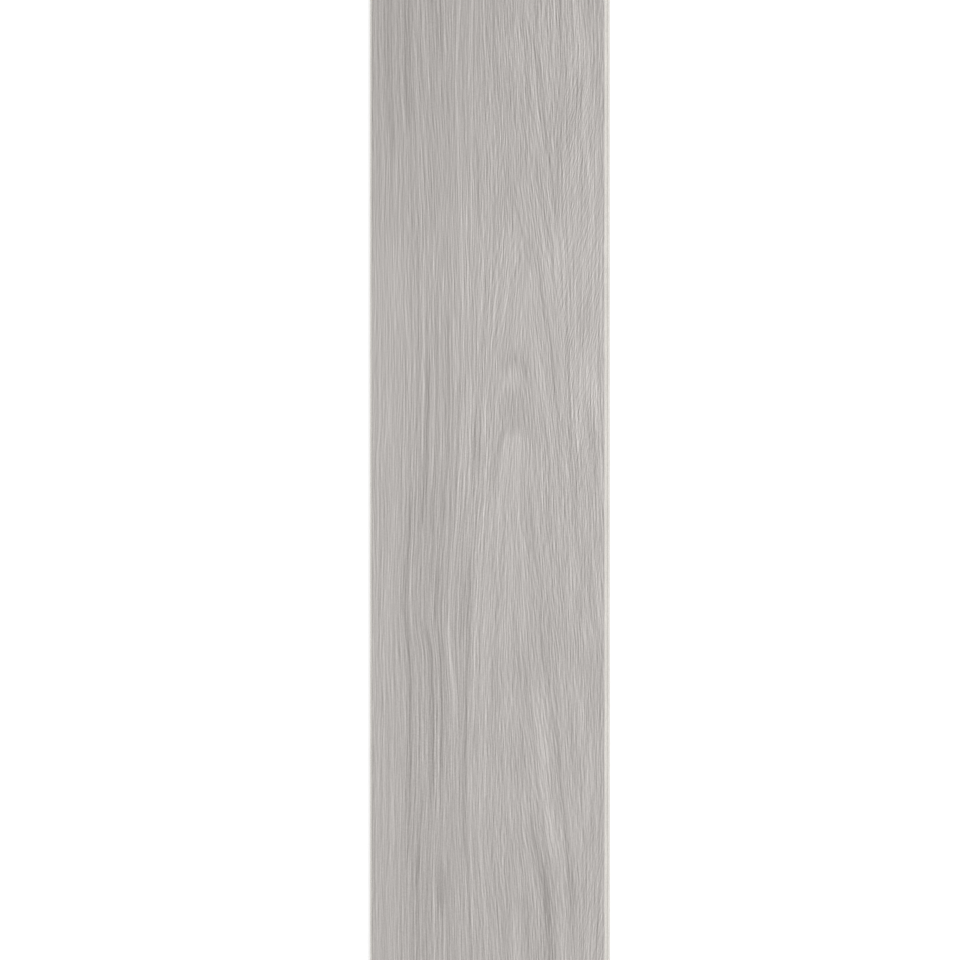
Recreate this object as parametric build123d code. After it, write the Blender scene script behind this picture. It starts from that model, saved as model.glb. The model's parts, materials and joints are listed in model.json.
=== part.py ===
from build123d import *
import math
import os

# Rigid core vinyl plank, one extruded and edge-milled board, in millimetres.
# X runs across the plank, Y along it and Z up through its thickness.
# The origin is on the underside, below the centre of the laid face.
# The tongues are on the -X and -Y edges, the grooves and locking strips on the +X and +Y edges.

# Laid face and thickness
face_width = 180.0
face_length = 1220.0
thickness = 5.0

# Micro-bevel pressed along the four upper edges
bevel_width = 0.6
bevel_depth = 0.4

# Tongue and groove
upper_lip = 1.6
tongue_thickness = 1.45
tongue_length = 1.7
tongue_tip_radius = 0.5
groove_corner_radius = 0.4

# Locking strip below the groove, with the hooked bead that it carries
strip_length = 4.6
strip_thickness = 1.15
bead_height = 0.7
bead_crown = 0.7
bead_radius = 0.25
locking_angle = 60.0
guide_angle = 40.0
strip_toe_chamfer = 0.3

# Gaps that a closed joint keeps
joint_play = 0.05
tip_play = 0.25
bead_play = 0.1
strip_end_play = 0.2
ramp_angle = 45.0


# Heights that the tongue edge and the groove edge share
groove_top = thickness - upper_lip
tongue_top = groove_top - joint_play
tongue_bottom = tongue_top - tongue_thickness
groove_bottom = tongue_bottom - joint_play
bead_top = strip_thickness + bead_height

# Distances out from the laid face's edge that the two edges share
ramp_run = (groove_bottom - strip_thickness) / math.tan(math.radians(ramp_angle))
lock_run = bead_height / math.tan(math.radians(locking_angle))
guide_drop = bead_top - strip_thickness / 2
guide_run = guide_drop * math.tan(math.radians(guide_angle))
bead_outer = strip_length - guide_run
bead_inner = bead_outer - bead_crown
lock_foot = bead_inner - lock_run


def bevel():
    """Upper corner of any edge, as (reach beyond the laid face, height, corner radius)."""
    return [
        (-bevel_width, thickness, 0),
        (0, thickness - bevel_depth, 0),
    ]


def groove_edge():
    """Groove and locking strip, from the face down to the underside."""
    groove_depth = tongue_length + tip_play
    return bevel() + [
        (0, groove_top, 0),
        (-groove_depth, groove_top, groove_corner_radius),
        (-groove_depth, groove_bottom, groove_corner_radius),
        (0, groove_bottom, 0),
        (ramp_run, strip_thickness, 0),
        (lock_foot, strip_thickness, 0),
        (bead_inner, bead_top, bead_radius),
        (bead_outer, bead_top, bead_radius),
        (strip_length, strip_thickness / 2, 0),
        (strip_length, strip_toe_chamfer, 0),
        (strip_length - strip_toe_chamfer, 0, 0),
    ]


def tongue_edge():
    """Tongue and the rebate that takes the neighbour's strip, from the face down to the underside."""
    rebate_ceiling = strip_thickness + joint_play
    pocket_top = bead_top + bead_play
    pocket_rise = (pocket_top - rebate_ceiling) / math.tan(math.radians(locking_angle))
    pocket_mouth = lock_foot - joint_play
    rebate_end = strip_length + strip_end_play
    return bevel() + [
        (0, tongue_top, 0),
        (tongue_length, tongue_top, tongue_tip_radius),
        (tongue_length, tongue_bottom, tongue_tip_radius),
        (0, tongue_bottom, 0),
        (-ramp_run, rebate_ceiling, 0),
        (-pocket_mouth, rebate_ceiling, 0),
        (-pocket_mouth - pocket_rise, pocket_top, 0),
        (-rebate_end, pocket_top, bead_radius),
        (-rebate_end, 0, 0),
    ]


def milled_section(laid_size):
    """Closed outline of the board between a tongue edge and a groove edge, laid_size apart."""
    half = laid_size / 2
    groove_side = [(half + reach, height, radius) for reach, height, radius in groove_edge()]
    tongue_side = [(-half - reach, height, radius) for reach, height, radius in tongue_edge()]
    corners = groove_side + tongue_side[::-1]
    with BuildSketch() as outline:
        with BuildLine():
            FilletPolyline(
                *[(across, height) for across, height, _ in corners],
                radius=[radius for _, _, radius in corners],
                close=True,
            )
        make_face()
    return outline.sketch


def milled_board():
    """Board as two milling passes leave it: the one piece inside both sections, without the loose chips."""
    reach = tongue_length + strip_length
    along = Plane.XZ * milled_section(face_width)
    across = Plane.YZ * milled_section(face_length)
    long_pass = extrude(along, amount=(face_length + reach), both=True)
    short_pass = extrude(across, amount=(face_width + reach), both=True)
    return (long_pass & short_pass).solids().sort_by(SortBy.VOLUME)[-1]


os.makedirs("parts", exist_ok=True)
export_step(milled_board(), "parts/plank.step")
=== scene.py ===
import json
import math

import bmesh
import bpy
import numpy as np
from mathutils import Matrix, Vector


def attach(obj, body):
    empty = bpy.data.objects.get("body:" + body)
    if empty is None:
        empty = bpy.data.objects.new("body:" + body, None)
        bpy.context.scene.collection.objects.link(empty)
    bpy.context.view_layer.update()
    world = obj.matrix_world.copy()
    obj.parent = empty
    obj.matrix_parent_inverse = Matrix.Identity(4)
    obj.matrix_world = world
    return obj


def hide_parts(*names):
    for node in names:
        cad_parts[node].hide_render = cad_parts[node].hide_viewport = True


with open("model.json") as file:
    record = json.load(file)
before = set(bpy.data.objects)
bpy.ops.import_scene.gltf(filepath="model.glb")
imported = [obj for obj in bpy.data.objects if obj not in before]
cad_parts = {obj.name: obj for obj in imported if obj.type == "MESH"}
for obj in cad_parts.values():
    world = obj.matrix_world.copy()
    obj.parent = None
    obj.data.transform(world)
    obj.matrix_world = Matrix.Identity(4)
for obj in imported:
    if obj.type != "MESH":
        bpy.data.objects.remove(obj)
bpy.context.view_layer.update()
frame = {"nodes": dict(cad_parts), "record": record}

# Rigid core vinyl plank: the milled board, its embossed print, and the photograph's view of it.
# The board is in metres. The figure and the grain are placed in mm from the middle of the laid
# face, x across the plank and y along it. Their shades are levels of 255, + light and - dark.
MM = 0.001

# Sizes of the laid face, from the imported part's interfaces, in metres
mount_places = {mount["name"]: Vector(mount["pos_m"]) for mount in frame["record"]["mounts"]}
HALF_WIDTH = mount_places["long_groove"].x
HALF_LENGTH = mount_places["end_groove"].y
FACE_HEIGHT = mount_places["laid_face"].z
BEVEL_FOOT = FACE_HEIGHT - 0.41 * MM

# Fine mesh that carries the embossing: cells across the laid face and along it
CELLS_ACROSS = 408
CELLS_ALONG = 232

# Corners this near are one, faces this flat are one, and edges this sharp stay sharp
WELD = 0.001 * MM
FLAT_ANGLE = math.radians(0.5)
SHARP_ANGLE = math.radians(20)
ALIGNED = 0.999
FACING_UP = 0.5
FACING_DOWN = -0.9

# Materials' numbers on the board
PRINTED, MILLED, PRESSED = 0, 1, 2

# Embossing: its depth in metres, the shades that it spans, and how it leaves the bevel, in mm
EMBOSS_DEPTH = 0.16 * MM
EMBOSS_SHADES = 34.0
BEVEL_WIDTH = 0.6
PLAIN_BORDER = 1.2

# Flat map for baking: the block that each part of the board takes, as left, right, low and high
MAP_BLOCKS = {
    "print": (0.004, 0.704, 0.004, 0.996),
    "long edges": (0.712, 0.832, 0.004, 0.996),
    "ends": (0.840, 0.996, 0.004, 0.400),
    "underside": (0.840, 0.996, 0.408, 0.996),
}
MAP_GAP = 0.001
UNWRAP_ANGLE = math.radians(60)
EDGE_REACH = 6 * MM

# Screen's curve, by which a shade of 255 becomes an amount of light
SCREEN_OFFSET = 0.055
SCREEN_POWER = 2.4

# Film: middle colour, relief finer than the mesh, and roughness in dark grain and on light grain
FILM_COLOUR = (0.7260, 0.7078, 0.6957)
FILM_BUMP = 0.0025 * MM
FILM_ROUGHNESS = (0.66, 0.5)
ROUGHNESS_SHADES = 20.0

# Core: colour, mineral specks, and the film's cut edge above it
CORE_COLOUR = (0.915, 0.905, 0.885)
CORE_ROUGHNESS = 0.7
SPECK_SPACINGS = (0.3 * MM, 0.8 * MM)
SPECK_SHADES = 22.0
SPECK_BUMP = 0.015 * MM
SPECK_ROUGHNESS = 0.25
FILM_FOOT = FACE_HEIGHT - 0.6 * MM
FILM_FADE = 0.04 * MM
FILM_EDGE_SHADES = -30.0

# Marks that the cutters and the press leave: spacing along x, y and z in metres, and shades
CUTTER_MARKS = ((45 * MM, 45 * MM, 0.22 * MM), 16.0)
PRESS_MARKS = ((1.6 * MM, 160 * MM, 160 * MM), 9.0)

# Kinds of fine grain: spacing and length of the lines in mm, seed, and spread in shades
RIDGES = (1.9, 180.0, 0.0, 45.5)
HAIRLINES = (0.95, 16.0, 20.0, 39.0)
STROKES = (1.5, 55.0, 40.0, 32.0)
TICKS = (0.95, 11.0, 60.0, 56.0)
SLANTED_TICKS = (1.0, 10.0, 30.0, 56.0)
GRIT = (0.7, 0.9, 100.0, 22.0)
STREAKS = (6.5, 50.0, 80.0, 17.5)

# A ridge is a printed grain line with painted emboss shade, light on one side and dark on the other: how
# far to each side it is looked up, in mm
RIDGE_STEP = 0.39

# Slanted ticks: how they lean, their share, and how strokes and ticks change where they are
SLANT = -0.25
SLANTED_SHARE = 0.7
STROKE_GAIN = 0.4
TICK_LOSS = -0.45

# Grain lines are followed over bands of this length in mm, in two runs half a band apart, each
# band and run with its own seed
GRAIN_BAND = 220.0
BAND_STARTS = (0.0, 0.5)
BAND_SEED = 7.7
RUN_SEED = 3.3

# Steps to the middle of a band, and the coarse grid in mm from which the lean is read
COURSE_STEPS = 10
LOOK_STEP = (1.5, 4.0)
LOOK_MARGIN = 8
LAST_CELL = 1.001

# How far a long line turns the fine grain beside it, in mm, and how firmly the grain stays straight
LEAN_REACH = 9.0
LEAN_HOLD = 0.25

# Long lines are drawn crisper than they look in the photograph, by its own blur, and end softly,
# in mm, and the whole figure has one strength
SEEN_BLUR = 0.6
CRISPEST_LINE = 0.45
LINE_FADE = 12.0
FIGURE_STRENGTH = 0.77

# Arches, and the light nose under the upper one. The fall and the lean are shares, the rest is in mm
ARCH_FALL = 2.2
FLANK_FADE = 4
NOSE_MIDDLE = 20.2
NOSE_LEAN = 0.16
NOSE_HALF_WIDTH = 8.7

# The photograph shows the laid face this far from its middle. Beyond it lines are drawn on: where,
# how they drift, and the spread of their shades and half widths, in mm
SHOWN_REACH = 371.0
UNSEEN_SEED = 5
UNSEEN_PITCH = 4.2
UNSEEN_OVERRUN = 30
UNSEEN_OVERLAP = 10
UNSEEN_LAG = 120
UNSEEN_POINTS = 5
UNSEEN_SCATTER = 2
UNSEEN_SWING = 4
UNSEEN_WAVE = (75, 60)
UNSEEN_WOBBLE = 0.5
UNSEEN_TONES = (-1.5, 7)
UNSEEN_WIDTHS = (0.9, 2.4)

# Long lines of the printed figure: shade, half width in mm, then the points (x, y) that the line
# passes, from its +Y end down
FIGURE_LINES = [
    # Upper part
    (12, 1.0, (-55, 430), (-55, 371), (-56, 340), (-54, 300), (-52, 280), (-51, 220), (-50, 205)),
    (12, 1.2, (-50, 410), (-49, 371), (-49, 340), (-46, 300)),
    (-11, 2.6, (-61, 440), (-62, 371), (-62, 340), (-62, 305), (-60, 275)),
    (-9, 2.0, (-77, 420), (-77, 371), (-77, 330), (-76, 300), (-74, 270), (-73, 250)),
    (-11, 1.6, (-44, 400), (-43, 371), (-39, 350), (-38, 325)),
    (9, 1.5, (-34, 345), (-33.5, 330), (-36, 303)),
    (12, 1.2, (-21, 420), (-22, 371), (-23.5, 350), (-24.5, 320), (-24.5, 300), (-23, 260),
     (-22, 220), (-21, 185), (-20.5, 160), (-19, 130), (-18.5, 110), (-19, 80)),
    (10, 1.3, (-11, 430), (-12, 371), (-14, 340), (-15.5, 300)),
    (5, 3.0, (-15, 310), (-16, 260), (-15.5, 190)),
    (-10, 1.2, (-9, 265), (-8, 240), (-7.5, 200)),
    (8, 0.8, (-5, 400), (-4, 371), (-3, 340), (0, 320), (2, 280), (2, 240), (1.5, 200), (2, 160)),
    (9, 0.9, (-5, 320), (-5, 280), (-4.5, 240), (-4, 200), (-5, 160), (-6, 120)),
    (5, 4.0, (20, 340), (21, 300)),
    (-13, 1.4, (34, 350), (37, 330), (40, 310), (40.5, 290), (43, 270), (46, 250), (48.5, 230),
     (52, 200)),
    (11, 1.1, (35.5, 320), (37.5, 290), (41.5, 265), (46.5, 235), (50, 205), (53, 180), (55, 145),
     (57, 115)),
    (11, 0.8, (34.5, 232), (38, 210), (42.5, 188), (46.5, 165), (50, 142)),
    (-10, 0.9, (39, 224), (43, 203), (46.5, 182)),
    (9, 1.3, (41, 410), (42, 371), (43, 340), (43.5, 320), (46, 300), (47, 285)),
    (8, 0.8, (51, 400), (51, 371), (52, 345), (52, 330)),
    (-6, 2.0, (56, 410), (56, 371), (57, 340)),
    (11, 0.8, (58, 410), (59, 371), (60, 340), (63, 320), (61, 300)),
    (12, 1.0, (66, 420), (67, 371), (69, 350), (71, 330), (70, 315)),
    (12, 1.5, (74, 345), (75, 330), (76, 300), (74.5, 288), (75, 270), (77, 250), (79, 230),
     (80, 210), (80, 190)),
    (6, 0.8, (80, 345), (78, 320), (76, 300)),
    (-7, 1.5, (81, 345), (81, 300)),
    (4, 3.0, (85, 320), (85, 240)),
    (-6, 3.0, (27, 262), (27, 232)),
    (-6, 1.5, (38, 250), (37.5, 232)),
    (6, 1.5, (65, 270), (62, 240), (60, 210), (60, 190)),
    (6, 1.5, (69, 260), (67, 230), (65, 200)),
    (-5, 3.0, (53, 300), (54, 260), (55, 240)),
    (5, 2.5, (-72, 186), (-71, 150), (-70, 120)),
    (8, 0.9, (-72, 275), (-71.8, 255), (-72, 232), (-73, 215)),
    (-9, 0.9, (-75, 283), (-73.3, 270), (-73, 255)),
    (9, 0.8, (-37.5, 215), (-37.2, 195), (-36.8, 175)),
    (8, 0.8, (-32, 212), (-32.4, 190)),
    (8, 0.8, (-29.8, 212), (-29, 186)),
    (8, 0.9, (-17.5, 210), (-17.8, 193), (-16.7, 176)),
    (8, 0.8, (-11.2, 232), (-11.2, 185)),
    (-9, 0.9, (-19.6, 296), (-18.8, 275), (-17.6, 257), (-17.3, 240)),
    (-8, 0.9, (-32, 306), (-30.5, 284)),
    # Middle part, round the arch and the nose
    (8, 1.0, (-65, 140), (-62, 110), (-60, 90), (-60.5, 75), (-63, 40), (-64, 10), (-64, -10)),
    (9, 1.2, (-78, 70), (-78, 40), (-82, 20)),
    (-7, 1.2, (-56, 190), (-55.5, 150)),
    (13, 0.8, (-49.5, 185), (-50, 160), (-50, 135), (-50, 105), (-50, 75), (-50.5, 45), (-51, 20)),
    (-16, 1.2, (-47, 92), (-46.5, 75), (-48, 45), (-48.5, 20), (-49, 0), (-50, -15), (-51.5, -35)),
    (15, 0.8, (-42.5, 190), (-42.5, 140), (-43, 108), (-42, 77), (-42.5, 46), (-43, 20), (-44, 0)),
    (-9, 0.7, (-41, 150), (-41, 98)),
    (-8, 0.7, (-43.7, 150), (-43.5, 85)),
    (-8, 0.7, (-51.5, 125), (-51.5, 95)),
    (7, 0.7, (-52.5, 150), (-52.5, 128)),
    (-7, 1.0, (-40, 115), (-40, 90), (-38.5, 60)),
    (13, 0.8, (-35, 165), (-35.5, 140), (-35, 108), (-34.5, 85), (-34.5, 46), (-34, 10)),
    (-9, 1.0, (-34, 190), (-33, 160)),
    (-13, 1.2, (-33, 130), (-32, 100), (-32, 60), (-31.5, 30), (-32, 0)),
    (10, 1.1, (-26, 122), (-25, 90), (-24.5, 72)),
    (-9, 1.0, (-24, 78), (-23.5, 55)),
    (6, 1.3, (-16, 165), (-15, 130)),
    (13, 1.3, (-14, 78), (-14, 60), (-15, 40), (-16, 20), (-17, 0), (-18, -12)),
    (12, 1.2, (-19, 62), (-20.5, 35), (-21.5, 10), (-23.5, -20), (-27, -50), (-28.5, -70),
     (-30, -100), (-31, -120), (-29.5, -135), (-27, -155), (-26, -180)),
    (-9, 0.8, (-17, 112), (-16.5, 88)),
    (-14, 1.2, (-10, 52), (-11, 30), (-11.5, 5)),
    (-14, 1.5, (-7, 35), (-7, 12)),
    (14, 1.3, (-2, 62), (-2, 40), (-1, 20), (-2, 0), (-4, -30), (-6, -55), (-7.5, -80), (-9, -105),
     (-10, -130), (-11, -160), (-11.5, -190)),
    (8, 1.0, (7, 72), (6, 55), (5, 38)),
    (-15, 1.3, (37, 192), (38.5, 172), (40, 158), (41.5, 142), (44.5, 124), (47.5, 111), (49.5, 96),
     (50.5, 80), (52.5, 62)),
    (-9, 1.0, (52.5, 68), (54, 50), (55.5, 20)),
    (-12, 1.0, (61, 115), (61.5, 90), (62, 70), (63.5, 40), (64.5, 25), (66, 10), (67.5, -15)),
    (-6, 1.0, (71, 165), (71.5, 105)),
    (-10, 1.2, (80.5, 48), (81, 20), (82, 0), (84, -30), (85, -52)),
    (13, 1.3, (83, 82), (84.5, 55), (86, 38)),
    (8, 1.5, (78, 112), (77, 75), (76.5, 58)),
    (6, 2.5, (33, 160), (33, 138)),
    (8, 1.0, (10, 182), (7, 150), (4, 118)),
    (8, 1.0, (16, 162), (12, 130), (8, 105)),
    (7, 1.0, (43, 62), (46, 40), (49, 20)),
    (7, 1.2, (41, 36), (42.5, 18)),
    (8, 1.0, (37, 78), (38, 58)),
    (-7, 1.0, (42, 52), (44, 33)),
    (-12, 1.8, (30, 86), (32, 75), (34.5, 60)),
    (-12, 1.8, (33, 46), (34, 36)),
    (-14, 1.6, (10.5, 38), (9.5, 28), (8, 20)),
    (-8, 2.0, (5, 14), (3, -4)),
    # Below the nose
    (6, 2.0, (-79, -66), (-79, -90), (-81, -120), (-82, -145), (-81, -162)),
    (4, 3.0, (-71, -15), (-71, -52)),
    (-14, 1.3, (-59.5, -12), (-60, -20), (-62, -50), (-64, -80), (-65, -100), (-63, -115),
     (-61, -135), (-60, -160), (-60, -186), (-60.5, -220), (-61, -260), (-62, -292)),
    (7, 1.0, (-60, -68), (-60, -102)),
    (-8, 1.0, (-44, -15), (-44.5, -42)),
    (-13, 1.3, (-35, -8), (-34, -32)),
    (-13, 1.4, (-39, -66), (-40.5, -90), (-41, -108)),
    (-16, 1.0, (-50.5, -112), (-47.5, -121), (-45, -130), (-44, -142), (-43.5, -160), (-43, -186),
     (-43.5, -220), (-44, -242)),
    (-14, 1.0, (-38, -120), (-37, -130), (-36.5, -150), (-36, -186), (-36.5, -210), (-37, -232)),
    (7, 1.5, (-43.5, -84), (-44.5, -106)),
    (-14, 1.5, (-18.5, -72), (-19.5, -100), (-20.5, -122)),
    (-18, 0.9, (-14, -60), (-14, -80), (-14.8, -105), (-15, -128), (-16.5, -145), (-17.3, -162),
     (-17.3, -178), (-18, -205), (-18.8, -236), (-18.8, -260), (-18, -292)),
    (12, 1.0, (3.5, -12), (1, -45), (0, -70), (-1.5, -95), (-3, -130), (-3.5, -160), (-2, -190),
     (-2.5, -230), (-5, -262)),
    (8, 0.9, (9, -10), (8, -50), (6, -80), (4.5, -105), (3.5, -132)),
    (-13, 1.5, (32, -6), (33.5, -30), (35, -50), (37.5, -70), (39, -88)),
    (-10, 1.3, (28.5, -22), (29, -38)),
    (9, 1.5, (26, -42), (27, -64)),
    (-7, 1.6, (33, -84), (34.5, -100)),
    (-11, 1.2, (40.5, -96), (41, -120), (42.5, -135), (44, -150), (48, -168)),
    (-6, 2.0, (44, -8), (44.5, -24)),
    (8, 1.1, (50, -42), (52, -70), (54, -92)),
    (6, 1.5, (38, -108), (40, -128)),
    (-11, 1.0, (66, -15), (68, -58)),
    (-9, 1.5, (69, -86), (70, -110)),
    (-7, 1.8, (73, -92), (75, -112)),
    (-8, 1.5, (79, -46), (80, -80), (81, -104)),
    (11, 1.0, (82, -58), (84, -85), (86, -108)),
    (7, 1.3, (75, -108), (77, -136)),
    (-5, 3.0, (24, -136), (25, -156)),
    (-7, 1.6, (29, -142), (31, -168)),
    # Lower part
    (12, 2.0, (34.5, -162), (38, -185), (42, -215), (44, -235)),
    (13, 3.4, (43, -232), (47, -258), (50, -275), (53, -290)),
    (10, 2.2, (54, -285), (57, -310), (59, -330), (59.5, -350), (58, -371), (57, -420)),
    (-12, 1.2, (48, -176), (52, -200), (54, -215), (56, -235), (58, -250), (61, -270), (63, -290),
     (65, -310), (66, -324)),
    (-19, 2.3, (34, -264), (36.5, -280), (39, -290), (42, -305), (44.5, -320), (45.8, -335),
     (47.2, -350), (48.8, -371), (50, -400), (50.5, -440)),
    (8, 1.0, (26.5, -240), (28, -260)),
    (-7, 2.6, (41, -298), (45, -322), (47, -345)),
    (5, 2.6, (38, -178), (42, -200), (45, -220)),
    (8, 1.2, (34, -222), (36.5, -244)),
    (-15, 1.0, (-50, -240), (-51, -252), (-52, -263), (-53.5, -278), (-54.5, -294), (-55, -310)),
    (11, 0.8, (-49, -225), (-49.5, -245), (-50.3, -258), (-52, -275)),
    (10, 1.0, (-38.5, -196), (-38.5, -240), (-39, -270), (-40.5, -290), (-41.5, -320),
     (-41.5, -350), (-41, -371), (-41, -430)),
    (-15, 2.0, (-38, -298), (-37.5, -334)),
    (-11, 1.3, (-33.5, -302), (-33, -328)),
    (13, 0.8, (-31, -112), (-30.8, -128), (-29, -145), (-27.7, -159), (-27, -174), (-27.6, -205),
     (-27.5, -240)),
    (11, 0.8, (-51, -140), (-50.6, -160), (-50.6, -205), (-50.8, -225)),
    (-8, 0.7, (-49.5, -150), (-49.5, -205)),
    (7, 0.8, (-57.8, -145), (-57.5, -180), (-57.5, -205)),
    (7, 0.8, (-64.5, -150), (-64, -175), (-63.7, -205)),
    (8, 0.9, (-22.7, -318), (-22, -350), (-22, -385)),
    (11, 1.0, (-15.5, -226), (-15, -260), (-14, -290), (-12.5, -320), (-12, -352)),
    (11, 1.0, (-10, -216), (-10.5, -250), (-10, -282)),
    (-10, 1.0, (-12.5, -255), (-12, -290), (-10, -312)),
    (9, 1.0, (-6, -286), (-3, -315), (-1, -335), (0, -362)),
    (6, 1.2, (-84, -186), (-84.5, -220), (-85, -266)),
    (4, 3.5, (-72, -228), (-72, -282)),
    (-8, 3.2, (-55, -290), (-55, -371), (-54, -430)),
    (5, 2.0, (32, -296), (35, -330), (37, -360)),
    (8, 1.0, (72, -176), (72, -202)),
    (8, 1.3, (76.5, -234), (77.5, -268)),
    (5, 1.5, (85, -196), (86, -238)),
    (-8, 1.8, (13, -336), (12.5, -356)),
    (-7, 1.6, (29, -336), (29, -362)),
    (6, 3.0, (22, -340), (22, -371), (23, -410)),
]

# Lines that print nothing but lead the fine grain: the points (x, y) that each passes
GRAIN_GUIDES = [
    ((-76, 320), (-78, 260), (-79, 200)),
    ((-66, 200), (-66, 150), (-66, 100), (-65, 60), (-64, 10), (-63, -40)),
    ((-78, 150), (-79, 100), (-79, 50), (-78, 0), (-77, -60)),
    ((63, 340), (61, 300), (58, 270), (56, 230), (55, 190)),
    ((74, 330), (73, 290), (71, 250), (69, 210), (68, 170), (66, 130), (64, 90)),
    ((85, 240), (83, 190), (81, 140), (78, 90), (77, 60)),
    ((64, -130), (66, -170), (68, -220), (70, -270), (71, -300)),
    ((12, -180), (13, -230), (15, -270)),
    ((20, 190), (16, 150), (11.5, 108)),
    ((20.5, 36), (20, 10), (18.5, -20), (16.5, -50)),
    ((28, -20), (32.5, -70), (37, -115)),
    ((39, -30), (44, -90), (47, -130)),
    ((60, -160), (61, -200), (62, -235)),
    ((75, -140), (75, -200), (75, -260)),
    ((81, -265), (78, -320), (75, -371), (73, -430)),
    ((-5, -300), (-1, -335), (3, -371), (5, -400)),
    ((-60, -25), (-62, -55)),
    ((-52, 360), (-52, 330)),
]

# The next three tables hold soft ovals over the face: amount, x and y of the middle, half width,
# half height, and how much of it is soft edge. The first holds broad tones of the print, in shades
TONE_OVALS = [
    (7, 17.5, 77, 5, 8, 0.5),
    (-6, 21, 55, 12, 17, 0.35),
    (3, 18, -60, 12, 60, 0.5),
    (-3.5, -50, -60, 16, 330, 0.5),
    (-1.8, -35, -60, 14, 330, 0.5),
    (2.5, 46, 330, 16, 60, 0.5),
    (2.5, 76, 100, 16, 200, 0.5),
]

# Where the short ticks slant across the long lines, 0 to 1
SLANTED_OVALS = [
    (1.0, 72, 185, 19, 150, 0.3),
    (0.5, 75, -20, 15, 110, 0.4),
    (0.7, 82, -330, 14, 75, 0.4),
    (0.3, 10, 150, 14, 60, 0.4),
    (0.5, -43, -65, 14, 25, 0.4),
]

# Where the fine grain is stronger or fainter than its usual strength, as it is along the left edge
USUAL_STRENGTH = 0.96
LEFT_EDGE_LOSS = 0.17
STRENGTH_OVALS = [
    (0.12, 60, 260, 18, 160, 0.4),
    (0.2, 64, 25, 20, 45, 0.5),
    (-0.13, 66, -250, 24, 110, 0.4),
    (-0.14, 24, -150, 15, 280, 0.4),
    (0.18, -38, 175, 20, 70, 0.5),
    (0.18, -40, -190, 18, 45, 0.5),
    (0.22, -13, 60, 12, 200, 0.4),
    (0.15, 2, 200, 10, 90, 0.5),
    (-0.05, -2, -100, 8, 300, 0.5),
    (-0.2, -14, 345, 12, 50, 0.5),
    (-0.15, -27, 190, 7, 80, 0.5),
    (-0.12, 20, -340, 18, 45, 0.5),
    (-0.08, 19, 8, 9, 28, 0.5),
]

# Photograph's frame: its side, and the laid face's long edges in it, in pixels
PHOTO_SIDE = 960
PHOTO_FACE_LEFT = 372.0
PHOTO_FACE_RIGHT = 604.6
CAMERA_HEIGHT = 3.0
SENSOR = 36.0

# Studio: pale floor and surround, and soft lamps as name, place, size and power
FLOOR_REACH = 20
FLOOR_DROP = 0.05 * MM
FLOOR_COLOUR = (0.8, 0.8, 0.8, 1)
FLOOR_ROUGHNESS = 0.9
FLOOR_GLOW = 0.45
SURROUND_LIGHT = 0.55
LAMPS = (
    ("key", (2.6, 0.8, 3.2), 2.4, 70.0),
    ("fill", (-2.8, -0.6, 3.4), 3.0, 28.0),
)


# Soft shapes over the face

def smooth(t):
    """Soft step from 0 to 1."""
    t = np.clip(t, 0, 1)
    return t * t * (3 - 2 * t)


def step(place, start, full):
    """Soft step that begins at start and is 1 at full."""
    return smooth((place - start) / (full - start))


def ovals(x, y, table):
    """Sum of soft-edged ovals."""
    total = np.zeros_like(x)
    for amount, across, along, half_width, half_height, edge in table:
        reach = np.hypot((x - across) / half_width, (y - along) / half_height)
        total += amount * smooth((1 + edge - reach) / (2 * edge))
    return total


def arch(x, y, middle, top, spread, thickness, reach):
    """A band along a round arch, 1 on its line."""
    fall = ARCH_FALL * spread * (np.sqrt(1 + ((x - middle) / spread) ** 2) - 1)
    drop = top - y - fall
    return np.exp(-0.5 * (drop / thickness) ** 2) * smooth((reach - np.abs(x - middle)) / FLANK_FADE)


def nose(x, y, top, length):
    """Light tip under the arch: a level top that fades downward and leans left, 1 at its top."""
    middle = NOSE_MIDDLE + NOSE_LEAN * np.minimum(y - top, 0)
    flanks = smooth((NOSE_HALF_WIDTH - np.abs(x - middle)) / FLANK_FADE)
    return smooth((top - y) / FLANK_FADE) * np.exp(-np.abs(top - y) / length) * flanks


# Printed figure

def line_course(points, y):
    """Where the line through the points is at each y, and how far it leans there."""
    x, up = np.array(points[::-1], float).T
    turns = np.gradient(x, up)
    at = np.clip(y, up[0], up[-1])
    k = np.clip(np.searchsorted(up, at) - 1, 0, len(up) - 2)
    span = up[k + 1] - up[k]
    t = (at - up[k]) / span
    place = x[k] * (1 + 2 * t) * (1 - t) ** 2 + x[k + 1] * t * t * (3 - 2 * t)
    place += span * t * (1 - t) * (turns[k] * (1 - t) - turns[k + 1] * t)
    lean = turns[k] * (1 - t) + turns[k + 1] * t
    return place + lean * (y - at), lean


def unseen_lines():
    """More lines of the same kind for the two ends, which the photograph doesn't show."""
    rng = np.random.default_rng(UNSEEN_SEED)
    end = HALF_LENGTH / MM + UNSEEN_OVERRUN
    lines = []
    for top in (end, -SHOWN_REACH + UNSEEN_OVERLAP):
        bottom = top - (end - SHOWN_REACH + UNSEEN_OVERLAP)
        for start in np.arange(-HALF_WIDTH / MM, HALF_WIDTH / MM, UNSEEN_PITCH):
            place = start + rng.uniform(-UNSEEN_SCATTER, UNSEEN_SCATTER)
            high = top - rng.uniform(0, UNSEEN_LAG)
            low = bottom + rng.uniform(0, UNSEEN_LAG)
            stops = np.linspace(high, low, UNSEEN_POINTS)
            drift = UNSEEN_SWING * np.sin(stops / UNSEEN_WAVE[0] + place / UNSEEN_WAVE[1])
            drift += rng.normal(0, UNSEEN_WOBBLE, UNSEEN_POINTS)
            tone = rng.normal(*UNSEEN_TONES)
            width = rng.uniform(*UNSEEN_WIDTHS)
            lines.append((tone, width, *zip(place + drift, stops)))
    return lines


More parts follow.
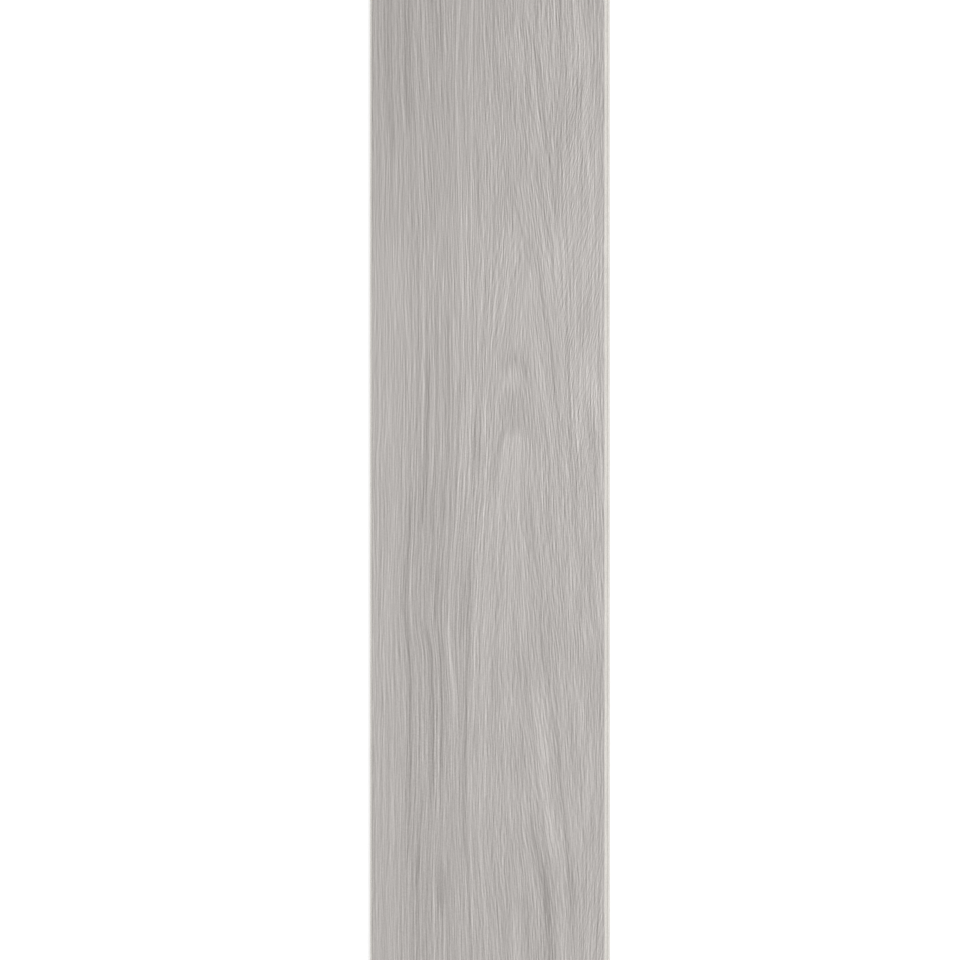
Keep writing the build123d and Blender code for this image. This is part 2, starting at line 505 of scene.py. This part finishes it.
def printed_lines(x, y):
    """Shade of the long lines, and the lean that they give the fine grain, at each place."""
    shade, lean = np.zeros_like(x), np.zeros_like(x)
    pull = np.full_like(x, LEAN_HOLD)
    guides = [(0, 1, *points) for points in GRAIN_GUIDES]
    for tone, width, *points in FIGURE_LINES + guides + unseen_lines():
        top, foot = points[0][1], points[-1][1]
        shown = step(y, top + LINE_FADE, top - LINE_FADE) * step(y, foot - LINE_FADE, foot + LINE_FADE)
        place, slope = line_course(points, y)
        crisp = max(math.sqrt(max(width ** 2 - SEEN_BLUR ** 2, 0)), CRISPEST_LINE)
        shade += tone * width / crisp * shown * np.exp(-0.5 * ((x - place) / crisp) ** 2)
        near = shown * np.exp(-0.5 * ((x - place) / LEAN_REACH) ** 2)
        pull += near
        lean += near * slope
    return shade, lean / pull


def figure_with_broad_steps(x, y):
    """Shade of the figure with broad steps in tone, and the fine grain's lean, at each place.

    The steps are broad tones, darker or lighter over wide parts of the face, that start along one line
    across or along the plank and are full at another.
    """
    shade, lean = printed_lines(x, y)
    shade -= 11 * arch(x, y, 20.5, 95, 9, 4.5, 12)
    shade -= 6 * arch(x, y, 24, -325, 6, 4.5, 9)
    shade += 13 * nose(x, y, 38, 45)
    shade -= 4 * step(y, 170, 230)
    shade -= 3.5 * step(x, -60, -44) * step(y, 260, 310)
    shade -= 5.5 * step(x, -30, -60) * step(y, 230, 350)
    shade += 1.5 * step(y, -20, 20) * step(y, 200, 160)
    shade -= 2 * step(x, -60, -40) * step(y, -260, -320)
    shade -= 3 * step(x, -8, -24)
    shade += 3 * step(x, -62, -76) * step(y, 200, 140)
    shade += 3 * step(x, 10, 30) * step(y, -240, 60)
    shade += 3.5 * step(x, 60, 76) * step(y, -170, -220)
    shade += ovals(x, y, TONE_OVALS)
    return FIGURE_STRENGTH * shade, lean


# Run of the fine grain

def lean_lookup():
    """Reads the grain's lean from a coarse grid over the face, which is quicker than the lines."""
    reach = np.array((HALF_WIDTH, HALF_LENGTH)) / MM + LOOK_MARGIN
    across, along = (np.arange(-end, end, pitch) for end, pitch in zip(reach, LOOK_STEP))
    grid = figure_with_broad_steps(*np.meshgrid(across, along))[1]

    def lean_at(x, y):
        i = np.clip((x - across[0]) / LOOK_STEP[0], 0, len(across) - LAST_CELL)
        j = np.clip((y - along[0]) / LOOK_STEP[1], 0, len(along) - LAST_CELL)
        left, low = i.astype(int), j.astype(int)
        i, j = i - left, j - low
        below = grid[low, left] * (1 - i) + grid[low, left + 1] * i
        above = grid[low + 1, left] * (1 - i) + grid[low + 1, left + 1] * i
        return below * (1 - j) + above * j

    return lean_at


def grain_courses(x, y):
    """Where the grain line through each place crosses the middle of its band, for both runs."""
    lean_at = lean_lookup()
    courses = []
    for start in BAND_STARTS:
        middle = (np.floor(y / GRAIN_BAND + start) + 0.5 - start) * GRAIN_BAND
        stride = (middle - y) / COURSE_STEPS
        across, along = x.copy(), y.copy()
        for _ in range(COURSE_STEPS):
            halfway = across + stride / 2 * lean_at(across, along)
            across += stride * lean_at(halfway, along + stride / 2)
            along += stride
        courses.append(across)
    return courses


def add_print(mesh):
    """Writes the figure's shade, and the fine grain's run and kind, on the mesh's points."""
    places = np.empty(len(mesh.vertices) * 3, np.float32)
    mesh.vertices.foreach_get("co", places)
    x, y, z = places.reshape(-1, 3).T.astype(float) / MM
    courses = grain_courses(x, y)
    beside = HALF_WIDTH / MM - BEVEL_WIDTH - np.abs(x)
    before = HALF_LENGTH / MM - BEVEL_WIDTH - np.abs(y)
    values = {
        "figure": figure_with_broad_steps(x, y)[0],
        "course_a": courses[0],
        "course_b": courses[1],
        "restless": step(x, -18, 18),
        "slanted": np.minimum(ovals(x, y, SLANTED_OVALS), 1),
        "strength": USUAL_STRENGTH - LEFT_EDGE_LOSS * step(x, -60, -78) + ovals(x, y, STRENGTH_OVALS),
        "pressed": smooth(np.minimum(beside, before) / PLAIN_BORDER) * (z > (FACE_HEIGHT - WELD) / MM),
    }
    for name, value in values.items():
        mesh.attributes.new(name, "FLOAT", "POINT").data.foreach_set("value", value.astype(np.float32))


# Nodes

def feed(tree, node, values):
    """Sets a node's inputs, or joins them to other nodes' outputs."""
    for key, value in values.items():
        if isinstance(value, bpy.types.NodeSocket):
            tree.links.new(value, node.inputs[key])
        else:
            node.inputs[key].default_value = value
    return node


def maths(tree, operation, *values):
    """Output of a Math node."""
    node = tree.nodes.new("ShaderNodeMath")
    node.operation = operation
    return feed(tree, node, dict(enumerate(values))).outputs[0]


def scaled_range(tree, value, start, end, low, high):
    """Output of a Map Range node that turns start to end into low to high."""
    node = tree.nodes.new("ShaderNodeMapRange")
    feed(tree, node, {"Value": value, "From Min": start, "From Max": end, "To Min": low, "To Max": high})
    return node.outputs[0]


def coordinate(tree, position, axis):
    """One coordinate of a position."""
    node = tree.nodes.new("ShaderNodeSeparateXYZ")
    tree.links.new(position, node.inputs[0])
    return node.outputs[axis]


def noise(tree, place):
    """Output of a plain Noise Texture, with its middle moved to 0."""
    node = tree.nodes.new("ShaderNodeTexNoise")
    feed(tree, node, {"Vector": place, "Scale": 1.0, "Detail": 0.0})
    return maths(tree, "SUBTRACT", node.outputs[0], 0.5)


def spaced_noise(tree, position, spacing):
    """Noise with its own spacing in metres along each axis, about 0."""
    node = tree.nodes.new("ShaderNodeVectorMath")
    node.operation = "DIVIDE"
    feed(tree, node, {0: position, 1: spacing})
    return noise(tree, node.outputs[0])


# Fine grain

def grain_bands(tree, y, courses):
    """Two runs of overlapping bands along the board, as (band number, grain line, weight)."""
    runs = []
    for start, course in zip(BAND_STARTS, courses):
        turn = maths(tree, "MULTIPLY_ADD", y, 1 / GRAIN_BAND, start)
        band = maths(tree, "FLOOR", turn)
        phase = maths(tree, "SUBTRACT", maths(tree, "FRACT", turn), 0.5)
        weight = maths(tree, "MULTIPLY_ADD", maths(tree, "ABSOLUTE", phase), -2.0, 1.0)
        runs.append((band, course, weight))
    squares = [maths(tree, "POWER", weight, 2.0) for _, _, weight in runs]
    norm = maths(tree, "SQRT", maths(tree, "ADD", *squares))
    return [(band, course, maths(tree, "DIVIDE", weight, norm)) for band, course, weight in runs]


def streaks(tree, y, runs, spacing, length, seed, aside=0.0):
    """Streaks of that spacing and length along the grain lines, as seen a little aside."""
    parts = []
    for number, (band, course, weight) in enumerate(runs):
        spot = tree.nodes.new("ShaderNodeCombineXYZ")
        feed(tree, spot, {
            "X": maths(tree, "MULTIPLY_ADD", course, 1 / spacing, aside / spacing),
            "Y": maths(tree, "DIVIDE", y, length),
            "Z": maths(tree, "MULTIPLY_ADD", band, BAND_SEED, seed + RUN_SEED * number),
        })
        parts.append(maths(tree, "MULTIPLY", noise(tree, spot.outputs[0]), weight))
    return maths(tree, "ADD", *parts)


def soft_streaks(tree, y, runs, spacing, length, seed, shades, others=0.0):
    """Streaks with soft sides, on top of others."""
    return maths(tree, "MULTIPLY_ADD", streaks(tree, y, runs, spacing, length, seed), shades, others)


def ridges_with_painted_shade(tree, y, runs, spacing, length, seed, shades, others=0.0):
    """Crisp grain lines with painted emboss shade, light along one side and dark along the other, on top
    of others.
    """
    sides = [streaks(tree, y, runs, spacing, length, seed, aside) for aside in (-RIDGE_STEP, RIDGE_STEP)]
    return maths(tree, "MULTIPLY_ADD", maths(tree, "SUBTRACT", *sides), shades, others)


def calm_grain(tree, y, runs):
    """Long even lines, as on the plank's left half."""
    return ridges_with_painted_shade(tree, y, runs, *HAIRLINES, others=ridges_with_painted_shade(tree, y, runs, *RIDGES))


def lively_grain(tree, y, runs, slanted):
    """Shorter strokes and ticks, as on the plank's right half, some of them slanted."""
    slanted_runs = []
    for band, course, weight in runs:
        slanted_runs.append((band, maths(tree, "MULTIPLY_ADD", y, SLANT, course), weight))
    strokes = ridges_with_painted_shade(tree, y, runs, *STROKES)
    strokes = maths(tree, "MULTIPLY", strokes, maths(tree, "MULTIPLY_ADD", slanted, STROKE_GAIN, 1.0))
    ticks = ridges_with_painted_shade(tree, y, runs, *TICKS)
    ticks = maths(tree, "MULTIPLY", ticks, maths(tree, "MULTIPLY_ADD", slanted, TICK_LOSS, 1.0))
    aslant = ridges_with_painted_shade(tree, y, slanted_runs, *SLANTED_TICKS)
    aslant = maths(tree, "MULTIPLY", aslant, maths(tree, "MULTIPLY", slanted, SLANTED_SHARE))
    return maths(tree, "ADD", maths(tree, "ADD", aslant, strokes), ticks)


def grain_shades(tree, position, attribute):
    """Shades of the fine grain, and of all the grain with the figure, from a place in metres."""
    restless = attribute("restless")
    y = maths(tree, "DIVIDE", coordinate(tree, position, "Y"), MM)
    runs = grain_bands(tree, y, (attribute("course_a"), attribute("course_b")))
    calm_share = maths(tree, "SQRT", maths(tree, "SUBTRACT", 1.0, restless))
    calm = maths(tree, "MULTIPLY", calm_grain(tree, y, runs), calm_share)
    lively = lively_grain(tree, y, runs, attribute("slanted"))
    fine = maths(tree, "MULTIPLY_ADD", lively, maths(tree, "SQRT", restless), calm)
    fine = soft_streaks(tree, y, runs, *GRIT, others=fine)
    fine = maths(tree, "MULTIPLY", fine, attribute("strength"))
    wide = maths(tree, "MULTIPLY", soft_streaks(tree, y, runs, *STREAKS), restless)
    whole = maths(tree, "ADD", maths(tree, "ADD", fine, wide), attribute("figure"))
    return fine, whole


# Board

def laid_edges(board, axis):
    """The edges of the laid face and its micro-bevel that run along an axis of the board."""
    found = []
    for edge in board.edges:
        way = edge.verts[0].co - edge.verts[1].co
        high = min(vertex.co.z for vertex in edge.verts) > BEVEL_FOOT
        if high and way.length > HALF_WIDTH and abs(way[axis]) > ALIGNED * way.length:
            found.append(edge)
    return found


def cut_at_corners(board):
    """Cuts the hidden faces that run round the corners, so that they unwrap as straight strips."""
    for axis, half in ((0, HALF_WIDTH), (1, HALF_LENGTH)):
        for side in (-1, 1):
            hidden = [face for face in board.faces if face.material_index != PRINTED]
            parts = {part for face in hidden for part in (face, *face.edges, *face.verts)}
            across = Vector((0, 0, 0))
            across[axis] = side
            cut = {"plane_co": across * (half - EDGE_REACH), "plane_no": across, "dist": WELD / 10}
            bmesh.ops.bisect_plane(board, geom=list(parts), **cut)


def board_mesh():
    """The milled board with whole faces, and a fine grid over its laid face."""
    board = bmesh.new()
    board.from_mesh(frame["nodes"]["plank"].data)
    bmesh.ops.remove_doubles(board, verts=board.verts, dist=WELD)
    bmesh.ops.dissolve_limit(board, angle_limit=FLAT_ANGLE, verts=board.verts, edges=board.edges)
    for axis, cells in ((0, CELLS_ACROSS), (1, CELLS_ALONG)):
        bmesh.ops.subdivide_edges(board, edges=laid_edges(board, axis), cuts=cells - 1, use_grid_fill=True)
    for face in board.faces:
        face.smooth = True
        low = min(vertex.co.z for vertex in face.verts)
        if face.normal.z > FACING_UP and low > BEVEL_FOOT:
            face.material_index = PRINTED
        elif face.normal.z < FACING_DOWN and low < WELD:
            face.material_index = PRESSED
        else:
            face.material_index = MILLED
    cut_at_corners(board)
    for edge in board.edges:
        edge.smooth = edge.calc_face_angle(0) < SHARP_ANGLE
    mesh = bpy.data.meshes.new("plank_board")
    board.to_mesh(mesh)
    board.free()
    mesh.attributes.remove(mesh.attributes["custom_normal"])
    return mesh


def embossing():
    """Geometry nodes that press the dark grain into the laid face, in register with the print."""
    tree = bpy.data.node_groups.new("embossing", "GeometryNodeTree")
    tree.interface.new_socket("Geometry", in_out="INPUT", socket_type="NodeSocketGeometry")
    tree.interface.new_socket("Geometry", in_out="OUTPUT", socket_type="NodeSocketGeometry")
    start, end = tree.nodes.new("NodeGroupInput"), tree.nodes.new("NodeGroupOutput")

    def attribute(name):
        node = tree.nodes.new("GeometryNodeInputNamedAttribute")
        node.data_type = "FLOAT"
        node.inputs["Name"].default_value = name
        return node.outputs["Attribute"]

    position = tree.nodes.new("GeometryNodeInputPosition").outputs[0]
    whole = grain_shades(tree, position, attribute)[1]
    level = scaled_range(tree, whole, -EMBOSS_SHADES, EMBOSS_SHADES, -EMBOSS_DEPTH, 0.0)
    drop = tree.nodes.new("ShaderNodeCombineXYZ")
    tree.links.new(maths(tree, "MULTIPLY", level, attribute("pressed")), drop.inputs["Z"])
    press = tree.nodes.new("GeometryNodeSetPosition")
    tree.links.new(start.outputs[0], press.inputs["Geometry"])
    tree.links.new(drop.outputs[0], press.inputs["Offset"])
    tree.links.new(press.outputs[0], end.inputs[0])
    return tree


# Flat map for baking

def face_region(face):
    """Which part of the flat map a face of the board goes to."""
    x, y = abs(face.center.x), abs(face.center.y)
    if face.material_index == PRINTED:
        return "print"
    if y > HALF_LENGTH - EDGE_REACH:
        return "ends"
    return "long edges" if x > HALF_WIDTH - EDGE_REACH else "underside"


def seen_from_above(mesh, inside):
    """Places of those face corners from above."""
    points = np.empty(len(inside), np.int32)
    mesh.loops.foreach_get("vertex_index", points)
    places = np.empty(len(mesh.vertices) * 3, np.float32)
    mesh.vertices.foreach_get("co", places)
    return places.reshape(-1, 3)[points[inside], :2]


def unwrapped(mesh, chosen, inside):
    """Places of those face corners with the chosen faces unwrapped."""
    mesh.polygons.foreach_set("select", chosen)
    bpy.ops.object.mode_set(mode="EDIT")
    bpy.ops.uv.smart_project(angle_limit=UNWRAP_ANGLE, island_margin=MAP_GAP)
    bpy.ops.object.mode_set(mode="OBJECT")
    flat = np.empty(2 * len(inside), np.float32)
    mesh.uv_layers["OFBake"].uv.foreach_get("vector", flat)
    return flat.reshape(-1, 2)[inside]


def add_bake_map(board):
    """One flat map of the whole piece: the print from above, and the rest unwrapped beside it."""
    bpy.context.view_layer.objects.active = board
    board.select_set(True)
    mesh = board.data
    mesh.uv_layers.new(name="OFBake")
    regions = [face_region(face) for face in mesh.polygons]
    corners = np.repeat(regions, [face.loop_total for face in mesh.polygons])
    spots = np.empty((len(corners), 2), np.float32)
    for region, (left, right, low, high) in MAP_BLOCKS.items():
        inside = corners == region
        if region == "print":
            chart = seen_from_above(mesh, inside)
        else:
            chart = unwrapped(mesh, [name == region for name in regions], inside)
            if np.ptp(chart[:, 0]) > np.ptp(chart[:, 1]) and region != "ends":
                chart = chart[:, ::-1] * (1, -1)
        chart = (chart - chart.min(0)) / np.ptp(chart, axis=0)
        spots[inside] = (left, low) + chart * (right - left, high - low)
    mesh.uv_layers["OFBake"].uv.foreach_set("vector", spots.ravel())
    board.select_set(False)


# Materials

def finished_material(name, **settings):
    """A material with a plain-finish shader, its tree and that shader."""
    material = bpy.data.materials.new(name)
    material.use_nodes = True
    shader = material.node_tree.nodes["Principled BSDF"]
    feed(material.node_tree, shader, settings)
    return material, material.node_tree, shader


def shade_colour(tree, shade, middle):
    """Colour that stands so many shades from the middle colour, as the eye sees it."""
    spread = tree.nodes.new("ShaderNodeCombineXYZ")
    feed(tree, spread, {"X": shade, "Y": shade, "Z": shade})
    level = tree.nodes.new("ShaderNodeVectorMath")
    level.operation = "MULTIPLY_ADD"
    feed(tree, level, {
        0: spread.outputs[0],
        1: (1 / 255 / (1 + SCREEN_OFFSET),) * 3,
        2: [(channel + SCREEN_OFFSET) / (1 + SCREEN_OFFSET) for channel in middle],
    })
    linear = tree.nodes.new("ShaderNodeGamma")
    feed(tree, linear, {"Color": level.outputs[0], "Gamma": SCREEN_POWER})
    return linear.outputs[0]


def bump(tree, height, distance):
    """Normal of a surface with that height, in units of distance."""
    node = tree.nodes.new("ShaderNodeBump")
    feed(tree, node, {"Height": height, "Distance": distance, "Strength": 1.0})
    return node.outputs[0]


def printed_film():
    """Matt wear layer over the oak print."""
    material, tree, shader = finished_material("printed_film")

    def attribute(name):
        node = tree.nodes.new("ShaderNodeAttribute")
        node.attribute_name = name
        return node.outputs["Fac"]

    position = tree.nodes.new("ShaderNodeTexCoord").outputs["Object"]
    fine, whole = grain_shades(tree, position, attribute)
    feed(tree, shader, {
        "Base Color": shade_colour(tree, whole, FILM_COLOUR),
        "Normal": bump(tree, fine, FILM_BUMP),
        "Roughness": scaled_range(tree, fine, -ROUGHNESS_SHADES, ROUGHNESS_SHADES, *FILM_ROUGHNESS),
    })
    return material


def core_material(name, marks_spacing, marks_shades):
    """Mineral-filled core: pale, matt and speckled, with the marks that the machine leaves."""
    material, tree, shader = finished_material(name)
    position = tree.nodes.new("ShaderNodeTexCoord").outputs["Object"]
    specks = maths(tree, "ADD", *(spaced_noise(tree, position, (gap,) * 3) for gap in SPECK_SPACINGS))
    marks = spaced_noise(tree, position, marks_spacing)
    shade = maths(tree, "MULTIPLY", specks, SPECK_SHADES)
    shade = maths(tree, "MULTIPLY_ADD", marks, marks_shades, shade)
    height = coordinate(tree, position, "Z")
    film = scaled_range(tree, height, FILM_FOOT - FILM_FADE, FILM_FOOT + FILM_FADE, 0.0, FILM_EDGE_SHADES)
    feed(tree, shader, {
        "Base Color": shade_colour(tree, maths(tree, "ADD", shade, film), CORE_COLOUR),
        "Normal": bump(tree, maths(tree, "ADD", specks, marks), SPECK_BUMP),
        "Roughness": maths(tree, "MULTIPLY_ADD", specks, SPECK_ROUGHNESS, CORE_ROUGHNESS),
    })
    return material


# The plank

def dressed_plank():
    """The whole plank as one piece, printed and embossed."""
    mesh = board_mesh()
    add_print(mesh)
    plank = bpy.data.objects.new("dressed_plank", mesh)
    bpy.context.scene.collection.objects.link(plank)
    plank.modifiers.new("embossing", "NODES").node_group = embossing()
    pressed = bpy.data.meshes.new_from_object(plank.evaluated_get(bpy.context.evaluated_depsgraph_get()))
    plank.modifiers.clear()
    plank.data = pressed
    pressed.name = "dressed_plank"
    milled_edge = core_material("milled_core", *CUTTER_MARKS)
    pressed_back = core_material("pressed_underside", *PRESS_MARKS)
    for material in (printed_film(), milled_edge, pressed_back):
        pressed.materials.append(material)
    add_bake_map(plank)
    return plank


plank = dressed_plank()
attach(plank, "root")
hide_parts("plank")


# Camera, floor and light

def photo_camera():
    """Camera straight above the plank, with the photograph's framing."""
    per_pixel = 2 * HALF_WIDTH / (PHOTO_FACE_RIGHT - PHOTO_FACE_LEFT)
    camera = bpy.data.objects.new("camera", bpy.data.cameras.new("camera"))
    camera.data.sensor_width = SENSOR
    camera.data.lens = SENSOR * CAMERA_HEIGHT / (PHOTO_SIDE * per_pixel)
    across = (PHOTO_SIDE / 2 - (PHOTO_FACE_LEFT + PHOTO_FACE_RIGHT) / 2) * per_pixel
    camera.location = (across, 0, FACE_HEIGHT + CAMERA_HEIGHT)
    bpy.context.scene.collection.objects.link(camera)
    bpy.context.scene.camera = camera


def seen_directly(tree):
    """1 for rays from the camera and from glossy surfaces, else 0."""
    rays = tree.nodes.new("ShaderNodeLightPath")
    return maths(tree, "MAXIMUM", rays.outputs["Is Camera Ray"], rays.outputs["Is Glossy Ray"])


def white_floor():
    """Pale floor that the camera sees as white, with the plank's soft shadow on it."""
    ground = bmesh.new()
    bmesh.ops.create_grid(ground, x_segments=1, y_segments=1, size=FLOOR_REACH)
    bmesh.ops.translate(ground, verts=ground.verts, vec=(0, 0, -FLOOR_DROP))
    mesh = bpy.data.meshes.new("floor")
    ground.to_mesh(mesh)
    ground.free()
    floor = bpy.data.objects.new("floor", mesh)
    bpy.context.scene.collection.objects.link(floor)
    material, tree, shader = finished_material("pale_floor", Roughness=FLOOR_ROUGHNESS)
    feed(tree, shader, {
        "Base Color": FLOOR_COLOUR,
        "Emission Color": (1, 1, 1, 1),
        "Emission Strength": maths(tree, "MULTIPLY", seen_directly(tree), FLOOR_GLOW),
    })
    mesh.materials.append(material)


def studio_light():
    """Large soft lamps and an even pale surround."""
    world = bpy.data.worlds.new("surround")
    bpy.context.scene.world = world
    world.use_nodes = True
    tree = world.node_tree
    strength = maths(tree, "MULTIPLY_ADD", seen_directly(tree), 1 - SURROUND_LIGHT, SURROUND_LIGHT)
    feed(tree, tree.nodes["Background"], {"Color": (1, 1, 1, 1), "Strength": strength})
    for name, place, size, power in LAMPS:
        lamp = bpy.data.objects.new(name, bpy.data.lights.new(name, "AREA"))
        lamp.data.shape = "SQUARE"
        lamp.data.size = size
        lamp.data.energy = power
        lamp.location = place
        lamp.rotation_euler = (-Vector(place)).to_track_quat("-Z", "Y").to_euler()
        bpy.context.scene.collection.objects.link(lamp)


photo_camera()
white_floor()
studio_light()
bpy.context.scene.view_settings.view_transform = "Standard"
